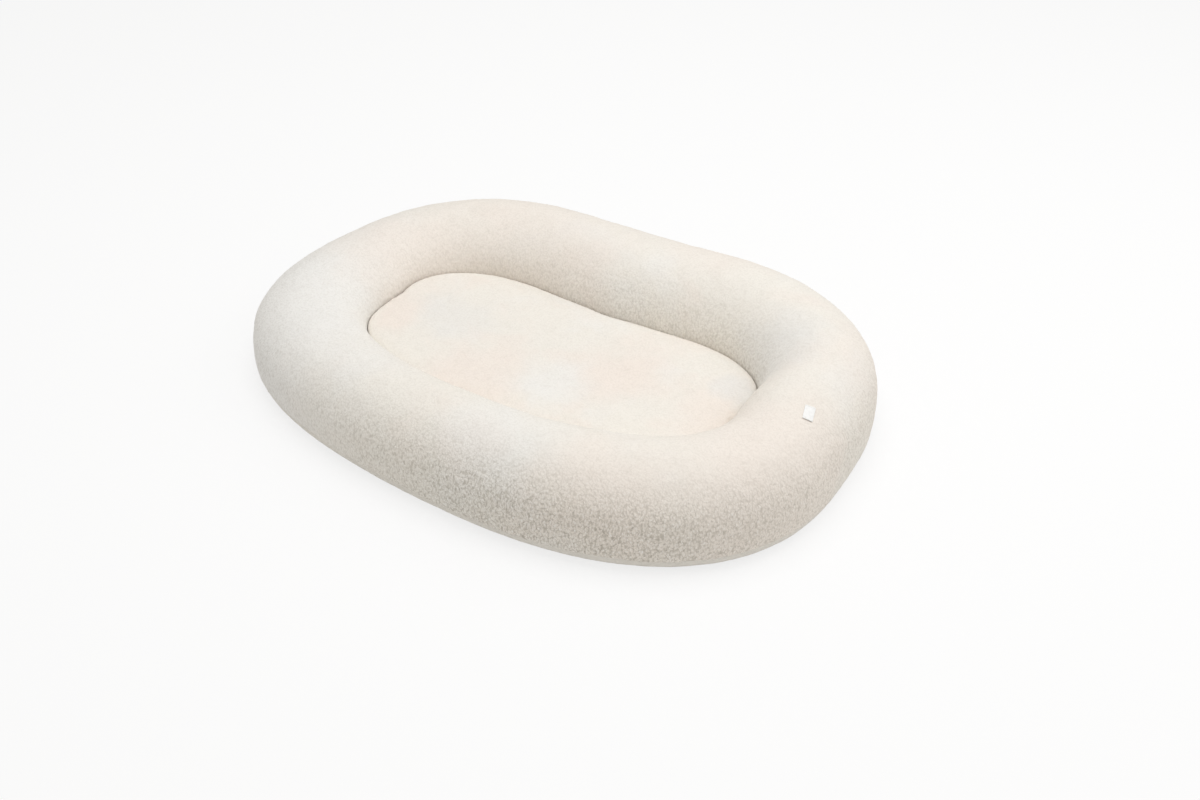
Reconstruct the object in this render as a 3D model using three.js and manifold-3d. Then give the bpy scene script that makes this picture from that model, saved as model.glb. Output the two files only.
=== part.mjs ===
// An infant lounger: a fleece bolster bent into an oval ring, on a padded sole, round a lift-out cushion.
// Sizes are in millimetres. The part stands on z = 0, its long side runs along X and its front faces -Y.

import * as THREE from "three";
import { mergeVertices } from "three/addons/utils/BufferGeometryUtils.js";
import Module from "manifold-3d";

const wasm = await Module();
wasm.setup();

// Bolster ring: its outer size, its section and how far hand-filled fibre lets that wander
const length = 900;
const width = 611;
const bolster_width = 160;
const bolster_height = 127;
const bulge_height = 50;
const seam_height = 24;
const plan_squareness_share = 2.27;
const crown_squareness_share = 2.06;
const foot_squareness_share = 6;
const width_wave_shares = [[0.03, 0.025], [0, 0.03], [-0.025, -0.025], [0, 0.015]];
const height_wave_shares = [[0.09, 0.03], [-0.015, 0]];
const drift_wave_shares = [[0, 0], [-0.005, 0.005], [-0.005, 0.005], [-0.02, 0.015], [-0.005, -0.01]];

// Cloth and the gaps between pieces
const fleece_thickness = 4;
const ticking_thickness = 1.2;
const band_thickness = 3;
const band_foot = 2.5;
const fit_gap = 0.3;
const layer_gap = 0.5;
const filling_slit_length = 160;
const filling_slit_width = 3;
const overrun = 1;

// Cushion
const cushion_gap = 0.8;
const cushion_edge_height = 45;
const cushion_crown_height = 61;
const cushion_seam_height = 26;
const cushion_foot_inset = 9;
const underside_thickness = 1.2;
const dome_squareness_share = 5;
const dome_roundness_share = 0.45;

// Label patch
const label_length = 24;
const label_width = 14;
const label_thickness = 0.8;
const label_corner = 1.5;
const label_ring_share = -0.0224;
const label_crown_share = 0.4;
const label_tilt_share = 0.04;

// Zip: where it lies, its rows of teeth, its tapes and its stops
const zip_setback = 11.5;
const zip_offset = (width - bolster_width) / 2 - zip_setback;
const zip_length = 320;
const tooth_pitch = 4;
const tooth_neck_share = 0.27;
const tooth_tip_share = 0.52;
const tooth_height = 2.2;
const row_reach = 2.5;
const bead_width = 0.8;
const tape_width = 11;
const tape_thickness = 0.8;
const stop_length = 3;
const post_width = 1.6;
const zip_gap = 0.3;
const groove_margin = 2;

// Zip slider and its pull
const slider_length = 13;
const slider_mouth = 4.5;
const slider_spread = 1.2;
const slider_corner = 1.5;
const plate_thickness = 0.7;
const flange_width = 1;
const bridge_length = 6.8;
const bridge_width = 2.2;
const bridge_strip = 0.6;
const bridge_room = 1.9;
const bridge_leg = 0.8;
const pull_length = 24;
const pull_width = 7;
const pull_thickness = 1;
const pull_bar = 1;
const pull_arm = 1.1;
const pull_corner = 1.5;
const floor_gap = 0.4;
const slot_margin = 0.8;

// Finish of each sort of piece
const fleece = { color: 0xefebe1, roughness: 0.95, metalness: 0 };
const underside_cloth = { color: 0xe2ddd1, roughness: 0.9, metalness: 0 };
const ticking = { color: 0xf3f0e8, roughness: 0.9, metalness: 0 };
const fibre = { color: 0xf8f7f4, roughness: 1, metalness: 0 };
const foam = { color: 0xf1e7c4, roughness: 1, metalness: 0 };
const sole_cloth = { color: 0xcdc6b8, roughness: 0.85, metalness: 0 };
const patch = { color: 0xfbfaf8, roughness: 0.7, metalness: 0 };
const tape_cloth = { color: 0xe8e3d6, roughness: 0.85, metalness: 0 };
const moulded = { color: 0xe9e5da, roughness: 0.45, metalness: 0 };
const cast_metal = { color: 0xb9b7b0, roughness: 0.35, metalness: 1 };

// Numbers of facets
const station_count = 46;
const skin_crown_count = 11;
const lining_crown_count = 6;

const lounger = new THREE.Group();

function addPiece(parent, name, geometry, finish) {
  const piece = new THREE.Mesh(geometry, new THREE.MeshStandardMaterial(finish));
  piece.name = name;
  parent.add(piece);
  return piece;
}

// Closed geometry to and from a solid that can be cut
function solidOf(geometry) {
  const bare = geometry.clone();
  bare.deleteAttribute("normal");
  bare.deleteAttribute("uv");
  const merged = mergeVertices(bare);
  const vertProperties = Float32Array.from(merged.attributes.position.array);
  const triVerts = Uint32Array.from(merged.index.array);
  return new wasm.Manifold(new wasm.Mesh({ numProp: 3, vertProperties, triVerts }));
}

function geometryOf(solid) {
  const mesh = solid.getMesh();
  const geometry = new THREE.BufferGeometry();
  geometry.setAttribute("position", new THREE.BufferAttribute(mesh.vertProperties, 3));
  geometry.setIndex(new THREE.BufferAttribute(mesh.triVerts, 1));
  geometry.computeVertexNormals();
  return geometry;
}

function geometryFrom(points, triangles) {
  const geometry = new THREE.BufferGeometry();
  geometry.setFromPoints(points);
  geometry.setIndex(triangles);
  geometry.computeVertexNormals();
  return geometry;
}

function slab(shape, thickness, bottom) {
  const settings = { depth: thickness, bevelEnabled: false, curveSegments: 6 };
  return new THREE.ExtrudeGeometry(shape, settings).translate(0, 0, bottom);
}

function box(low, high) {
  const size = high.clone().sub(low);
  const middle = low.clone().add(high).multiplyScalar(1 / 2);
  return new THREE.BoxGeometry(size.x, size.y, size.z).translate(middle.x, middle.y, middle.z);
}

function roundedRectangle(low_x, low_y, high_x, high_y, corner) {
  const shape = new THREE.Shape();
  shape.moveTo(low_x + corner, low_y);
  shape.lineTo(high_x - corner, low_y);
  shape.quadraticCurveTo(high_x, low_y, high_x, low_y + corner);
  shape.lineTo(high_x, high_y - corner);
  shape.quadraticCurveTo(high_x, high_y, high_x - corner, high_y);
  shape.lineTo(low_x + corner, high_y);
  shape.quadraticCurveTo(low_x, high_y, low_x, high_y - corner);
  shape.lineTo(low_x, low_y + corner);
  shape.quadraticCurveTo(low_x, low_y, low_x + corner, low_y);
  return shape;
}

// Depths of the zip, which set how thick the sole has to be to bury it
const channel_depth = tooth_height / 2 + zip_gap;
const plate_depth = channel_depth + plate_thickness;
const bridge_depth = plate_depth + bridge_room + bridge_strip;
const sole_thickness = bridge_depth + floor_gap - fit_gap - tape_thickness / 2;
const zip_level = sole_thickness + fit_gap + tape_thickness / 2;
const foot_level = sole_thickness + fit_gap;

// Places round the ring: centre of the bolster, its outward direction, half width and crown height
function signedPower(value, power) {
  return Math.sign(value) * Math.abs(value) ** power;
}

function wave(shares, turn) {
  return shares.reduce((sum, [cosine_share, sine_share], index) => {
    const angle = (index + 1) * turn;
    return sum + cosine_share * Math.cos(angle) + sine_share * Math.sin(angle);
  }, 0);
}

function placeAt(turn) {
  const reach_x = (length - bolster_width) / 2;
  const reach_y = (width - bolster_width) / 2;
  const heading = Math.atan2(reach_y * Math.sin(turn), reach_x * Math.cos(turn));
  const across = Math.abs(Math.cos(heading) / reach_x) ** plan_squareness_share;
  const along = Math.abs(Math.sin(heading) / reach_y) ** plan_squareness_share;
  const radius = (across + along) ** (-1 / plan_squareness_share);
  const centre = new THREE.Vector2(radius * Math.cos(heading), radius * Math.sin(heading));
  const outward = new THREE.Vector2(
    signedPower(centre.x / reach_x, plan_squareness_share - 1) / reach_x,
    signedPower(centre.y / reach_y, plan_squareness_share - 1) / reach_y,
  ).normalize();
  centre.addScaledVector(outward, (length / 2) * wave(drift_wave_shares, turn));
  const half_width = (bolster_width / 2) * (1 + wave(width_wave_shares, turn));
  const crown_height = bolster_height * (1 + wave(height_wave_shares, turn));
  return { centre, outward, half_width, crown_height };
}

function ringPlaces() {
  const turns = Array.from({ length: station_count }, (_, index) => (2 * Math.PI * (index + 1 / 2)) / station_count);
  const places = turns.map(placeAt);
  const rim = places.map((place) => place.centre.clone().addScaledVector(place.outward, place.half_width));
  const middle = new THREE.Box2().setFromPoints(rim).getCenter(new THREE.Vector2());
  places.forEach((place) => place.centre.sub(middle));
  return places;
}

const places = ringPlaces();

function pointAt(place, outwards, height) {
  const spot = place.centre.clone().addScaledVector(place.outward, outwards);
  return new THREE.Vector3(spot.x, spot.y, height);
}

// Section of the bolster: flanks that rise from the foot to the bulge, and a crown from bulge to bulge
const seam_rise_share = (seam_height - foot_level) / (bulge_height - foot_level);
const band_rise_share = (seam_height - fit_gap - foot_level) / (bulge_height - foot_level);
const band_foot_rise_share = (band_foot - foot_level) / (bulge_height - foot_level);
const flank_rise_shares = [0, 0.1, 0.3];

function flankWidthShare(rise_share) {
  const nominal_height = foot_level + (bulge_height - foot_level) * rise_share;
  const fall_share = (bulge_height - nominal_height) / bulge_height;
  return (1 - fall_share ** foot_squareness_share) ** (1 / foot_squareness_share);
}

function flankPoint(place, side, inset, foot, rise_share) {
  const outwards = side * (place.half_width - inset) * flankWidthShare(rise_share);
  return pointAt(place, outwards, foot + (bulge_height - foot) * rise_share);
}

function crownPoint(place, inset, crown_share) {
  const angle = Math.PI * crown_share;
  const power = 2 / crown_squareness_share;
  const outwards = (place.half_width - inset) * signedPower(Math.cos(angle), power);
  const rise = (place.crown_height - inset - bulge_height) * Math.abs(Math.sin(angle)) ** power;
  return pointAt(place, outwards, bulge_height + rise);
}

function crownLine(place, inset, count) {
  return Array.from({ length: count + 1 }, (_, index) => crownPoint(place, inset, index / count));
}

function flankLine(place, side, inset, foot, rise_shares) {
  return rise_shares.map((rise_share) => flankPoint(place, side, inset, foot, rise_share));
}

// Two triangles over four corners, split along the shorter diagonal so that nested skins split alike
function facets(points, near, far, far_next, near_next) {
  if (points[near].distanceTo(points[far_next]) < points[far].distanceTo(points[near_next])) {
    return [near, far, far_next, near, far_next, near_next];
  }
  return [near, far, near_next, far, far_next, near_next];
}

// A ring through one closed outline at each place, each outline running up its outer side first
function ring(outlineAt) {
  const outlines = places.map(outlineAt);
  const points = outlines.flat();
  const size = outlines[0].length;
  const triangles = [];
  for (let station = 0; station < station_count; station += 1) {
    const here = station * size;
    const there = ((station + 1) % station_count) * size;
    for (let point = 0; point < size; point += 1) {
      const next = (point + 1) % size;
      triangles.push(...facets(points, here + point, there + point, there + next, here + next));
    }
  }
  return geometryFrom(points, triangles);
}

function wallRing(outerLine, innerLine) {
  return ring((place) => [...outerLine(place), ...innerLine(place).reverse()]);
}

function tubeRing(inset, foot) {
  const rising_shares = [...flank_rise_shares, seam_rise_share];
  const falling_shares = [...flank_rise_shares].reverse();
  return ring((place) => [
    ...flankLine(place, 1, inset, foot, rising_shares),
    ...crownLine(place, inset, lining_crown_count),
    ...flankLine(place, -1, inset, foot, falling_shares),
  ]);
}

// Fleece skin: an open shell from the outer seam over the crown and down to the inner foot
function coverLine(place, inset, crown_count) {
  const falling_shares = [...flank_rise_shares].reverse();
  return [
    flankPoint(place, 1, inset, foot_level, seam_rise_share),
    ...crownLine(place, inset, crown_count),
    ...flankLine(place, -1, inset, foot_level, falling_shares),
  ];
}

function bolsterCover() {
  const outerLine = (place) => coverLine(place, 0, skin_crown_count);
  const innerLine = (place) => coverLine(place, fleece_thickness, lining_crown_count);
  addPiece(lounger, "bolster_cover", wallRing(outerLine, innerLine), fleece);
}

// Smooth band at the foot, from below the seam down round the edge of the sole
function edgeBand() {
  const rise_shares = [band_foot_rise_share, ...flank_rise_shares, band_rise_share];
  const outerLine = (place) => flankLine(place, 1, 0, foot_level, rise_shares);
  const innerLine = (place) => flankLine(place, 1, band_thickness, foot_level, rise_shares);
  addPiece(lounger, "edge_band", wallRing(outerLine, innerLine), sole_cloth);
}

// Zip lengths along its own axis, from its middle: the rows close towards +X
const row_end = zip_length / 2;
const slider_front = row_end + zip_gap + slider_mouth;
const slider_rear = slider_front - slider_length;
const slider_middle = (slider_front + slider_rear) / 2;
const slider_travel = slider_rear + row_end;
const stop_reach = slider_front + zip_gap + stop_length;
const tape_end = stop_reach + pull_length;
const bead_edge = row_reach + bead_width;
const tape_edge = bead_edge + zip_gap;
const channel_reach = bead_edge + zip_gap;
const slider_reach = channel_reach + slider_spread + flange_width;
const slot_reach = slider_reach + slot_margin;

// The hollow that the zip needs above the sole, grown by the thickness of what already clears it
function zipHollow(growth) {
  const reach_x = tape_end + groove_margin + growth;
  const reach_y = tape_edge + tape_width + groove_margin + growth;
  const top = zip_level + plate_depth + layer_gap + growth;
  const low = new THREE.Vector3(-reach_x, zip_offset - reach_y, -overrun);
  const high = new THREE.Vector3(reach_x, zip_offset + reach_y, top);
  return solidOf(box(low, high));
}

function hollowedTube(inset, foot, growth) {
  return solidOf(tubeRing(inset, foot)).subtract(zipHollow(growth));
}

// Ticking tube with the slit that it is filled through, and the fibre inside it
function bolsterLining() {
  const outer_inset = fleece_thickness + layer_gap;
  const inner_inset = outer_inset + ticking_thickness;
  const inner_foot = foot_level + ticking_thickness;
  const slit_low = new THREE.Vector3(-filling_slit_length / 2, -zip_offset - filling_slit_width / 2, 0);
  const slit_high = new THREE.Vector3(filling_slit_length / 2, -zip_offset + filling_slit_width / 2, bulge_height);
  const liner = hollowedTube(outer_inset, foot_level, 0)
    .subtract(hollowedTube(inner_inset, inner_foot, ticking_thickness))
    .subtract(solidOf(box(slit_low, slit_high)));
  addPiece(lounger, "bolster_liner", geometryOf(liner), ticking);
  const clear = ticking_thickness + layer_gap;
  const filling = hollowedTube(inner_inset + layer_gap, inner_foot + layer_gap, clear);
  addPiece(lounger, "bolster_filling", geometryOf(filling), fibre);
}

// Padded sole: flat, inside the foot of the band, with a round-ended slot over the zip
function basePanel() {
  const band_foot_share = flankWidthShare(band_foot_rise_share);
  const rim = places.map((place) => {
    const outwards = (place.half_width - band_thickness) * band_foot_share - fit_gap;
    return place.centre.clone().addScaledVector(place.outward, outwards);
  });
  const shape = new THREE.Shape(rim);
  const slot_start = slider_middle - slider_travel - pull_length - slot_margin;
  const slot_end = stop_reach + slot_margin;
  const low_y = zip_offset - slot_reach;
  shape.holes.push(roundedRectangle(slot_start, low_y, slot_end, zip_offset + slot_reach, slot_reach));
  addPiece(lounger, "base_panel", slab(shape, sole_thickness, 0), sole_cloth);
}

// Label patch, turned flat onto the facet of the crown that it is sewn to
function labelPatch() {
  const ring_spot = label_ring_share * station_count - 1 / 2;
  const crown_spot = label_crown_share * skin_crown_count;
  const station = Math.floor(ring_spot);
  const step = Math.floor(crown_spot);
  const skinPoint = (index, number) => crownPoint(places.at(index % station_count), 0, number / skin_crown_count);
  const near_out = skinPoint(station, step);
  const near_in = skinPoint(station, step + 1);
  const far_out = skinPoint(station + 1, step);
  const far_in = skinPoint(station + 1, step + 1);
  const along = far_out.clone().add(far_in).sub(near_out).sub(near_in).normalize();
  const inwards = near_in.clone().add(far_in).sub(near_out).sub(far_out);
  const facing = inwards.cross(along).normalize().negate();
  const beside = facing.clone().cross(along);
  const near = near_out.clone().lerp(near_in, crown_spot - step);
  const far = far_out.clone().lerp(far_in, crown_spot - step);
  const spot = near.lerp(far, ring_spot - station);
  const corners = [near_out, near_in, far_out, far_in];
  const seat = Math.max(...corners.map((corner) => corner.clone().sub(spot).dot(facing)));
  const shape = roundedRectangle(-label_length / 2, -label_width / 2, label_length / 2, label_width / 2, label_corner);
  const label = addPiece(lounger, "label", slab(shape, label_thickness, fit_gap + seat), patch);
  label.quaternion.setFromRotationMatrix(new THREE.Matrix4().makeBasis(along, beside, facing));
  label.rotateZ(2 * Math.PI * label_tilt_share);
  label.position.copy(spot);
}

// Cushion outline at an inset from the cushion's widest edge, drawn in towards the middle by a share
function cushionLoop(inset, reach_share, height) {
  return places.map((place) => {
    const point = pointAt(place, -(place.half_width + cushion_gap + inset), height);
    return new THREE.Vector3(point.x * reach_share, point.y * reach_share, height);
  });
}

function domeLoops(inset, drop, reach_shares) {
  const rise = cushion_crown_height - drop - cushion_edge_height;
  return reach_shares.map((reach_share) => {
    const height_share = (1 - reach_share ** dome_squareness_share) ** dome_roundness_share;
    return cushionLoop(inset, reach_share, cushion_edge_height + rise * height_share);
  });
}

function sideInset(height) {
  const fall_share = (cushion_edge_height - height) / (cushion_edge_height - foot_level);
  return cushion_foot_inset * fall_share ** 2;
}

function sideLoops(inset, heights) {
  return heights.map((height) => cushionLoop(inset + sideInset(height), 1, height));
}

// A closed skin through loops of points, from one middle, outwards and round to the other middle
function turnedSkin(loops) {
  const middles = [loops[0], loops[loops.length - 1]].map((loop) => new THREE.Vector3(0, 0, loop[0].z));
  const points = [...loops.flat(), ...middles];
  const first_middle = points.length - 2;
  const last_middle = points.length - 1;
  const last_start = (loops.length - 1) * station_count;
  const triangles = [];
  for (let station = 0; station < station_count; station += 1) {
    const next = (station + 1) % station_count;
    triangles.push(first_middle, station, next);
    triangles.push(last_middle, last_start + next, last_start + station);
    for (let loop = 0; loop < loops.length - 1; loop += 1) {
      const here = loop * station_count;
      const there = here + station_count;
      triangles.push(...facets(points, here + station, there + station, there + next, here + next));
    }
  }
  return geometryFrom(points, triangles);
}

function floorLoops(inset, height, reach_shares) {
  return reach_shares.map((reach_share) => cushionLoop(inset + sideInset(height), reach_share, height));
}

function cushion() {
  const body = new THREE.Group();
  const skin_reach_shares = [0.2, 0.5, 0.75, 0.9, 0.96, 0.99, 1];
  const lining_reach_shares = [0.3, 0.7, 0.9, 1];
  const floor_reach_shares = [0.5, 1];
  const side_heights = [(cushion_seam_height + cushion_edge_height) / 2, cushion_seam_height];
  const top_skin = [
    ...domeLoops(0, 0, skin_reach_shares),
    ...sideLoops(0, side_heights),
    ...sideLoops(fleece_thickness, side_heights).reverse(),
    ...domeLoops(fleece_thickness, fleece_thickness, lining_reach_shares).reverse(),
  ];
  addPiece(body, "cushion_top", turnedSkin(top_skin), fleece);

  const floor_height = foot_level + underside_thickness;
  const lower_heights = [cushion_seam_height - fit_gap, (cushion_seam_height + foot_level) / 2];
  const bottom_skin = [
    ...floorLoops(underside_thickness, floor_height, floor_reach_shares),
    ...sideLoops(underside_thickness, lower_heights).reverse(),
    ...sideLoops(0, [...lower_heights, foot_level]),
    ...floorLoops(0, foot_level, floor_reach_shares.slice(0, 1)),
  ];
  addPiece(body, "cushion_bottom", turnedSkin(bottom_skin), underside_cloth);

  const core_inset = fleece_thickness + layer_gap;
  const core_foot = floor_height + layer_gap;
  const core_skin = [
    ...domeLoops(core_inset, core_inset, lining_reach_shares),
    ...sideLoops(core_inset, [...side_heights, core_foot]),
  ];
  addPiece(body, "cushion_core", turnedSkin(core_skin), foam);
  lounger.add(body);
}

// Zip tape, teeth row and top stop of one side: side is 1 for the row nearer the back
function zipTape(side) {
  const edges = [side * tape_edge, side * (tape_edge + tape_width)];
  const shape = new THREE.Shape();
  shape.moveTo(-tape_end, Math.min(...edges));
  shape.lineTo(tape_end, Math.min(...edges));
  shape.lineTo(tape_end, Math.max(...edges));
  shape.lineTo(-tape_end, Math.max(...edges));
  return slab(shape, tape_thickness, -tape_thickness / 2);
}

function teethRow(side) {
  const count = Math.round(zip_length / tooth_pitch);
  const half_neck = (tooth_pitch * tooth_neck_share) / 2;
  const half_tip = (tooth_pitch * tooth_tip_share) / 2;
  const tip_reach = row_reach - zip_gap;
  const phase_share = side > 0 ? 1 / 4 : 3 / 4;
  const shape = new THREE.Shape();
  shape.moveTo(-row_end, side * bead_edge);
  shape.lineTo(-row_end, side * row_reach);
  for (let tooth = 0; tooth < count; tooth += 1) {
    const middle = -row_end + (tooth + phase_share) * tooth_pitch;
    shape.lineTo(middle - half_neck, side * row_reach);
    shape.lineTo(middle - half_tip, -side * tip_reach);
    shape.lineTo(middle + half_tip, -side * tip_reach);
    shape.lineTo(middle + half_neck, side * row_reach);
  }
  shape.lineTo(slider_front, side * row_reach);
  shape.lineTo(slider_front, side * bead_edge);
  return slab(shape, tooth_height, -tooth_height / 2);
}

function topStop(side) {
  const edges = [side * (post_width / 2 + zip_gap), side * bead_edge];
  const low_x = slider_front + zip_gap;
  const corner = bead_width / 2;
  const shape = roundedRectangle(low_x, Math.min(...edges), stop_reach, Math.max(...edges), corner);
  return slab(shape, tooth_height, -tooth_height / 2);
}

function bottomStop() {
  const high_x = -row_end - zip_gap;
  const shape = roundedRectangle(high_x - stop_length, -bead_edge, high_x, bead_edge, bead_width / 2);
  return slab(shape, tooth_height, -tooth_height / 2);
}

// Slider: two plates with turned-in flanges, the post between them and the bridge that holds the pull
function sliderPlate(bottom) {
  const rear_reach = slider_reach - slider_spread;
  const shape = new THREE.Shape();
  shape.moveTo(slider_rear, -rear_reach);
  shape.lineTo(slider_front - slider_corner, -slider_reach);
  shape.quadraticCurveTo(slider_front, -slider_reach, slider_front, slider_corner - slider_reach);
  shape.lineTo(slider_front, slider_reach - slider_corner);
  shape.quadraticCurveTo(slider_front, slider_reach, slider_front - slider_corner, slider_reach);
  shape.lineTo(slider_rear, rear_reach);
  return solidOf(slab(shape, plate_thickness, bottom));
}

function sliderFlange(side, bottom, height) {
  const shape = new THREE.Shape();
  const front = slider_front - slider_corner;
  shape.moveTo(slider_rear, side * channel_reach);
  shape.lineTo(front, side * (channel_reach + slider_spread));
  shape.lineTo(front, side * slider_reach);
  shape.lineTo(slider_rear, side * (slider_reach - slider_spread));
  return solidOf(slab(shape, height, bottom));
}

function sliderPost() {
  const shape = new THREE.Shape();
  shape.moveTo(slider_front - slider_mouth, 0);
  shape.lineTo(slider_front - slider_mouth / 2, -post_width / 2);
  shape.lineTo(slider_front, -post_width / 2);
  shape.lineTo(slider_front, post_width / 2);
  shape.lineTo(slider_front - slider_mouth / 2, post_width / 2);
  const sunk = plate_thickness / 2;
  return solidOf(slab(shape, 2 * (channel_depth + sunk), -channel_depth - sunk));
}

function sliderBridge() {
  const half = bridge_length / 2;
  const inner = half - bridge_leg;
  const top = bridge_room + bridge_strip;
  const sunk = plate_thickness / 2;
  const shape = new THREE.Shape();
  shape.moveTo(-half, -sunk);
  shape.lineTo(-inner, -sunk);
  shape.lineTo(-inner, bridge_room);
  shape.lineTo(inner, bridge_room);
  shape.lineTo(inner, -sunk);
  shape.lineTo(half, -sunk);
  shape.lineTo(half, top - bridge_leg);
  shape.quadraticCurveTo(half, top, half - bridge_leg, top);
  shape.lineTo(bridge_leg - half, top);
  shape.quadraticCurveTo(-half, top, -half, top - bridge_leg);
  const arch = slab(shape, bridge_width, -bridge_width / 2).rotateX(-Math.PI / 2);
  return solidOf(arch.translate(slider_middle, 0, -plate_depth));
}

function slider() {
  const tape_room = tape_thickness / 2 + zip_gap;
  const sunk = plate_thickness / 2;
  const height = channel_depth + sunk - tape_room;
  const pieces = [sliderPlate(channel_depth), sliderPlate(-plate_depth), sliderPost(), sliderBridge()];
  for (const side of [1, -1]) {
    pieces.push(sliderFlange(side, tape_room, height));
    pieces.push(sliderFlange(side, -tape_room - height, height));
  }
  return geometryOf(wasm.Manifold.union(pieces));
}

// Pull tab lying along the closed rows, its own origin on the bar that the bridge holds
function pullTab() {
  const window_reach = bridge_width / 2 + zip_gap;
  const ring_reach = window_reach + pull_arm;
  const window_end = Math.hypot(bridge_length / 2, bridge_depth - plate_depth) + zip_gap;
  const bar = pull_bar / 2;
  const tip = -pull_length;
  const half = pull_width / 2;
  const shape = new THREE.Shape();
  shape.moveTo(bar, ring_reach);
  shape.lineTo(-window_end, ring_reach);
  shape.lineTo(-window_end - pull_corner, half);
  shape.lineTo(tip + pull_corner, half);
  shape.quadraticCurveTo(tip, half, tip, half - pull_corner);
  shape.lineTo(tip, pull_corner - half);
  shape.quadraticCurveTo(tip, -half, tip + pull_corner, -half);
  shape.lineTo(-window_end - pull_corner, -half);
  shape.lineTo(-window_end, -ring_reach);
  shape.lineTo(bar, -ring_reach);
  shape.holes.push(roundedRectangle(-window_end, -window_reach, -bar, window_reach, zip_gap));
  return slab(shape, pull_thickness, -pull_thickness / 2);
}

function zip() {
  const group = new THREE.Group();
  for (const [side, name] of [[1, "left"], [-1, "right"]]) {
    addPiece(group, `zip_tape_${name}`, zipTape(side), tape_cloth);
    addPiece(group, `zip_teeth_${name}`, teethRow(side), moulded);
    addPiece(group, `zip_top_stop_${name}`, topStop(side), cast_metal);
  }
  addPiece(group, "zip_bottom_stop", bottomStop(), cast_metal);
  addPiece(group, "zip_slider", slider(), cast_metal);
  const pull = addPiece(group, "zip_pull", pullTab(), cast_metal);
  pull.position.set(slider_middle, 0, -plate_depth - bridge_room / 2);
  group.position.set(0, zip_offset, zip_level);
  lounger.add(group);
}

bolsterCover();
edgeBand();
bolsterLining();
basePanel();
labelPatch();
cushion();
zip();

export default lounger;
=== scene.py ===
"""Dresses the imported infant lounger: fleece bolster and cushion, edge band, label, sole and zip."""

import math

import bpy
import numpy as np
from mathutils import Matrix, Vector
from mathutils.bvhtree import BVHTree


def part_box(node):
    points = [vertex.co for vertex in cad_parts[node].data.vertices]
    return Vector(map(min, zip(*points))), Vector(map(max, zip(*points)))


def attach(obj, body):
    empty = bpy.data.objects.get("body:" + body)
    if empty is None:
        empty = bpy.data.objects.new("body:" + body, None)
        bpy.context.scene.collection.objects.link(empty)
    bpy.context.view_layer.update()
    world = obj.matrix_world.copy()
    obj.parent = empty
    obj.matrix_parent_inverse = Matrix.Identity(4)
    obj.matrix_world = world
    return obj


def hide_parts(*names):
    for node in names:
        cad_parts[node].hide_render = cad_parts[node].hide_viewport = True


bl_info = {
    "name": "Infant Lounger",
    "version": (1, 0, 0),
    "blender": (4, 5, 0),
    "location": "3D View > Sidebar > Lounger",
    "description": "Fleece, cloth, label and zip of an infant lounger, and its stage",
    "category": "Object",
}

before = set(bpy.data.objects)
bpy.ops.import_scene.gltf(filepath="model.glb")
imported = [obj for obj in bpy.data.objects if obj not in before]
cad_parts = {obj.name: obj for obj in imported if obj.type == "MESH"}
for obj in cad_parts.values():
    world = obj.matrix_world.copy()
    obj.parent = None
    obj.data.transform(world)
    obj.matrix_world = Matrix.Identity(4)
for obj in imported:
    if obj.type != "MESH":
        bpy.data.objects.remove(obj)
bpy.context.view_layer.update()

# Heights of the seams and of the sole, in metres like every length below
SEAM_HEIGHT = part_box("edge_band")[1].z
SOLE_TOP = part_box("base_panel")[1].z
CUSHION_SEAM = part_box("cushion_top")[0].z

UP = Vector((0.0, 0.0, 1.0))
WHITE = (1.0, 1.0, 1.0, 1.0)

# Filling of the padded pieces
CLOTH_FRAMES = 20
HELD_BOLSTER_FOOT = 0.002
HELD_CUSHION_FOOT = 0.004
CUSHION_SIDEWAYS = 0.15
SMALL_DENT_SIZE = 0.03
BROAD_DENT_SIZE = 0.11

# Dimples in the bolster: place and reach
DIMPLES = (
    ((-0.28, 0.05, 0.055), 0.12),
    ((0.305, 0.03, 0.055), 0.09),
    ((0.32, 0.085, 0.11), 0.08),
)

# Calm wall beside the cushion, and the height below which the pile's relief and its painted shade and
# highlights grow
CALM_REACH = 0.004
CALM_FADE = 0.03
PILE_RELIEF_AND_SHADE_BELOW = 0.135
PILE_RELIEF_AND_SHADE_FADE = 0.07

# Foot of the bolster
BAND_TUCK = 0.0029
FOOT_GAP = 0.0003
ZIP_HOLLOW = 0.0032
ZIP_HOLLOW_EDGE = 0.004

# Painted shade in the crease between bolster and cushion
CREASE_SHADE_REACH = 0.0034
CREASE_SHADE_FADE = 0.0022
CREASE_SHADE_STRENGTH = 0.58

# Cushion: half its length and width, the slack middle of its far side and its raised far left corner
CUSHION_REACH = np.array((0.285, 0.147))
SLACK_PLACE, SLACK_REACH = (-0.08, 0.13), 0.12
CORNER_PLACE, CORNER_REACH = (-0.265, 0.055), 0.09

# Fit of the cushion to the ring: heights that are measured, gap that is left, furthest moves in and out
WALL_HEIGHTS = (0.044, 0.047, 0.050)
WALL_GAP = 0.0004
WALL_SHIFTS = (-0.0025, 0.0045)
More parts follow.
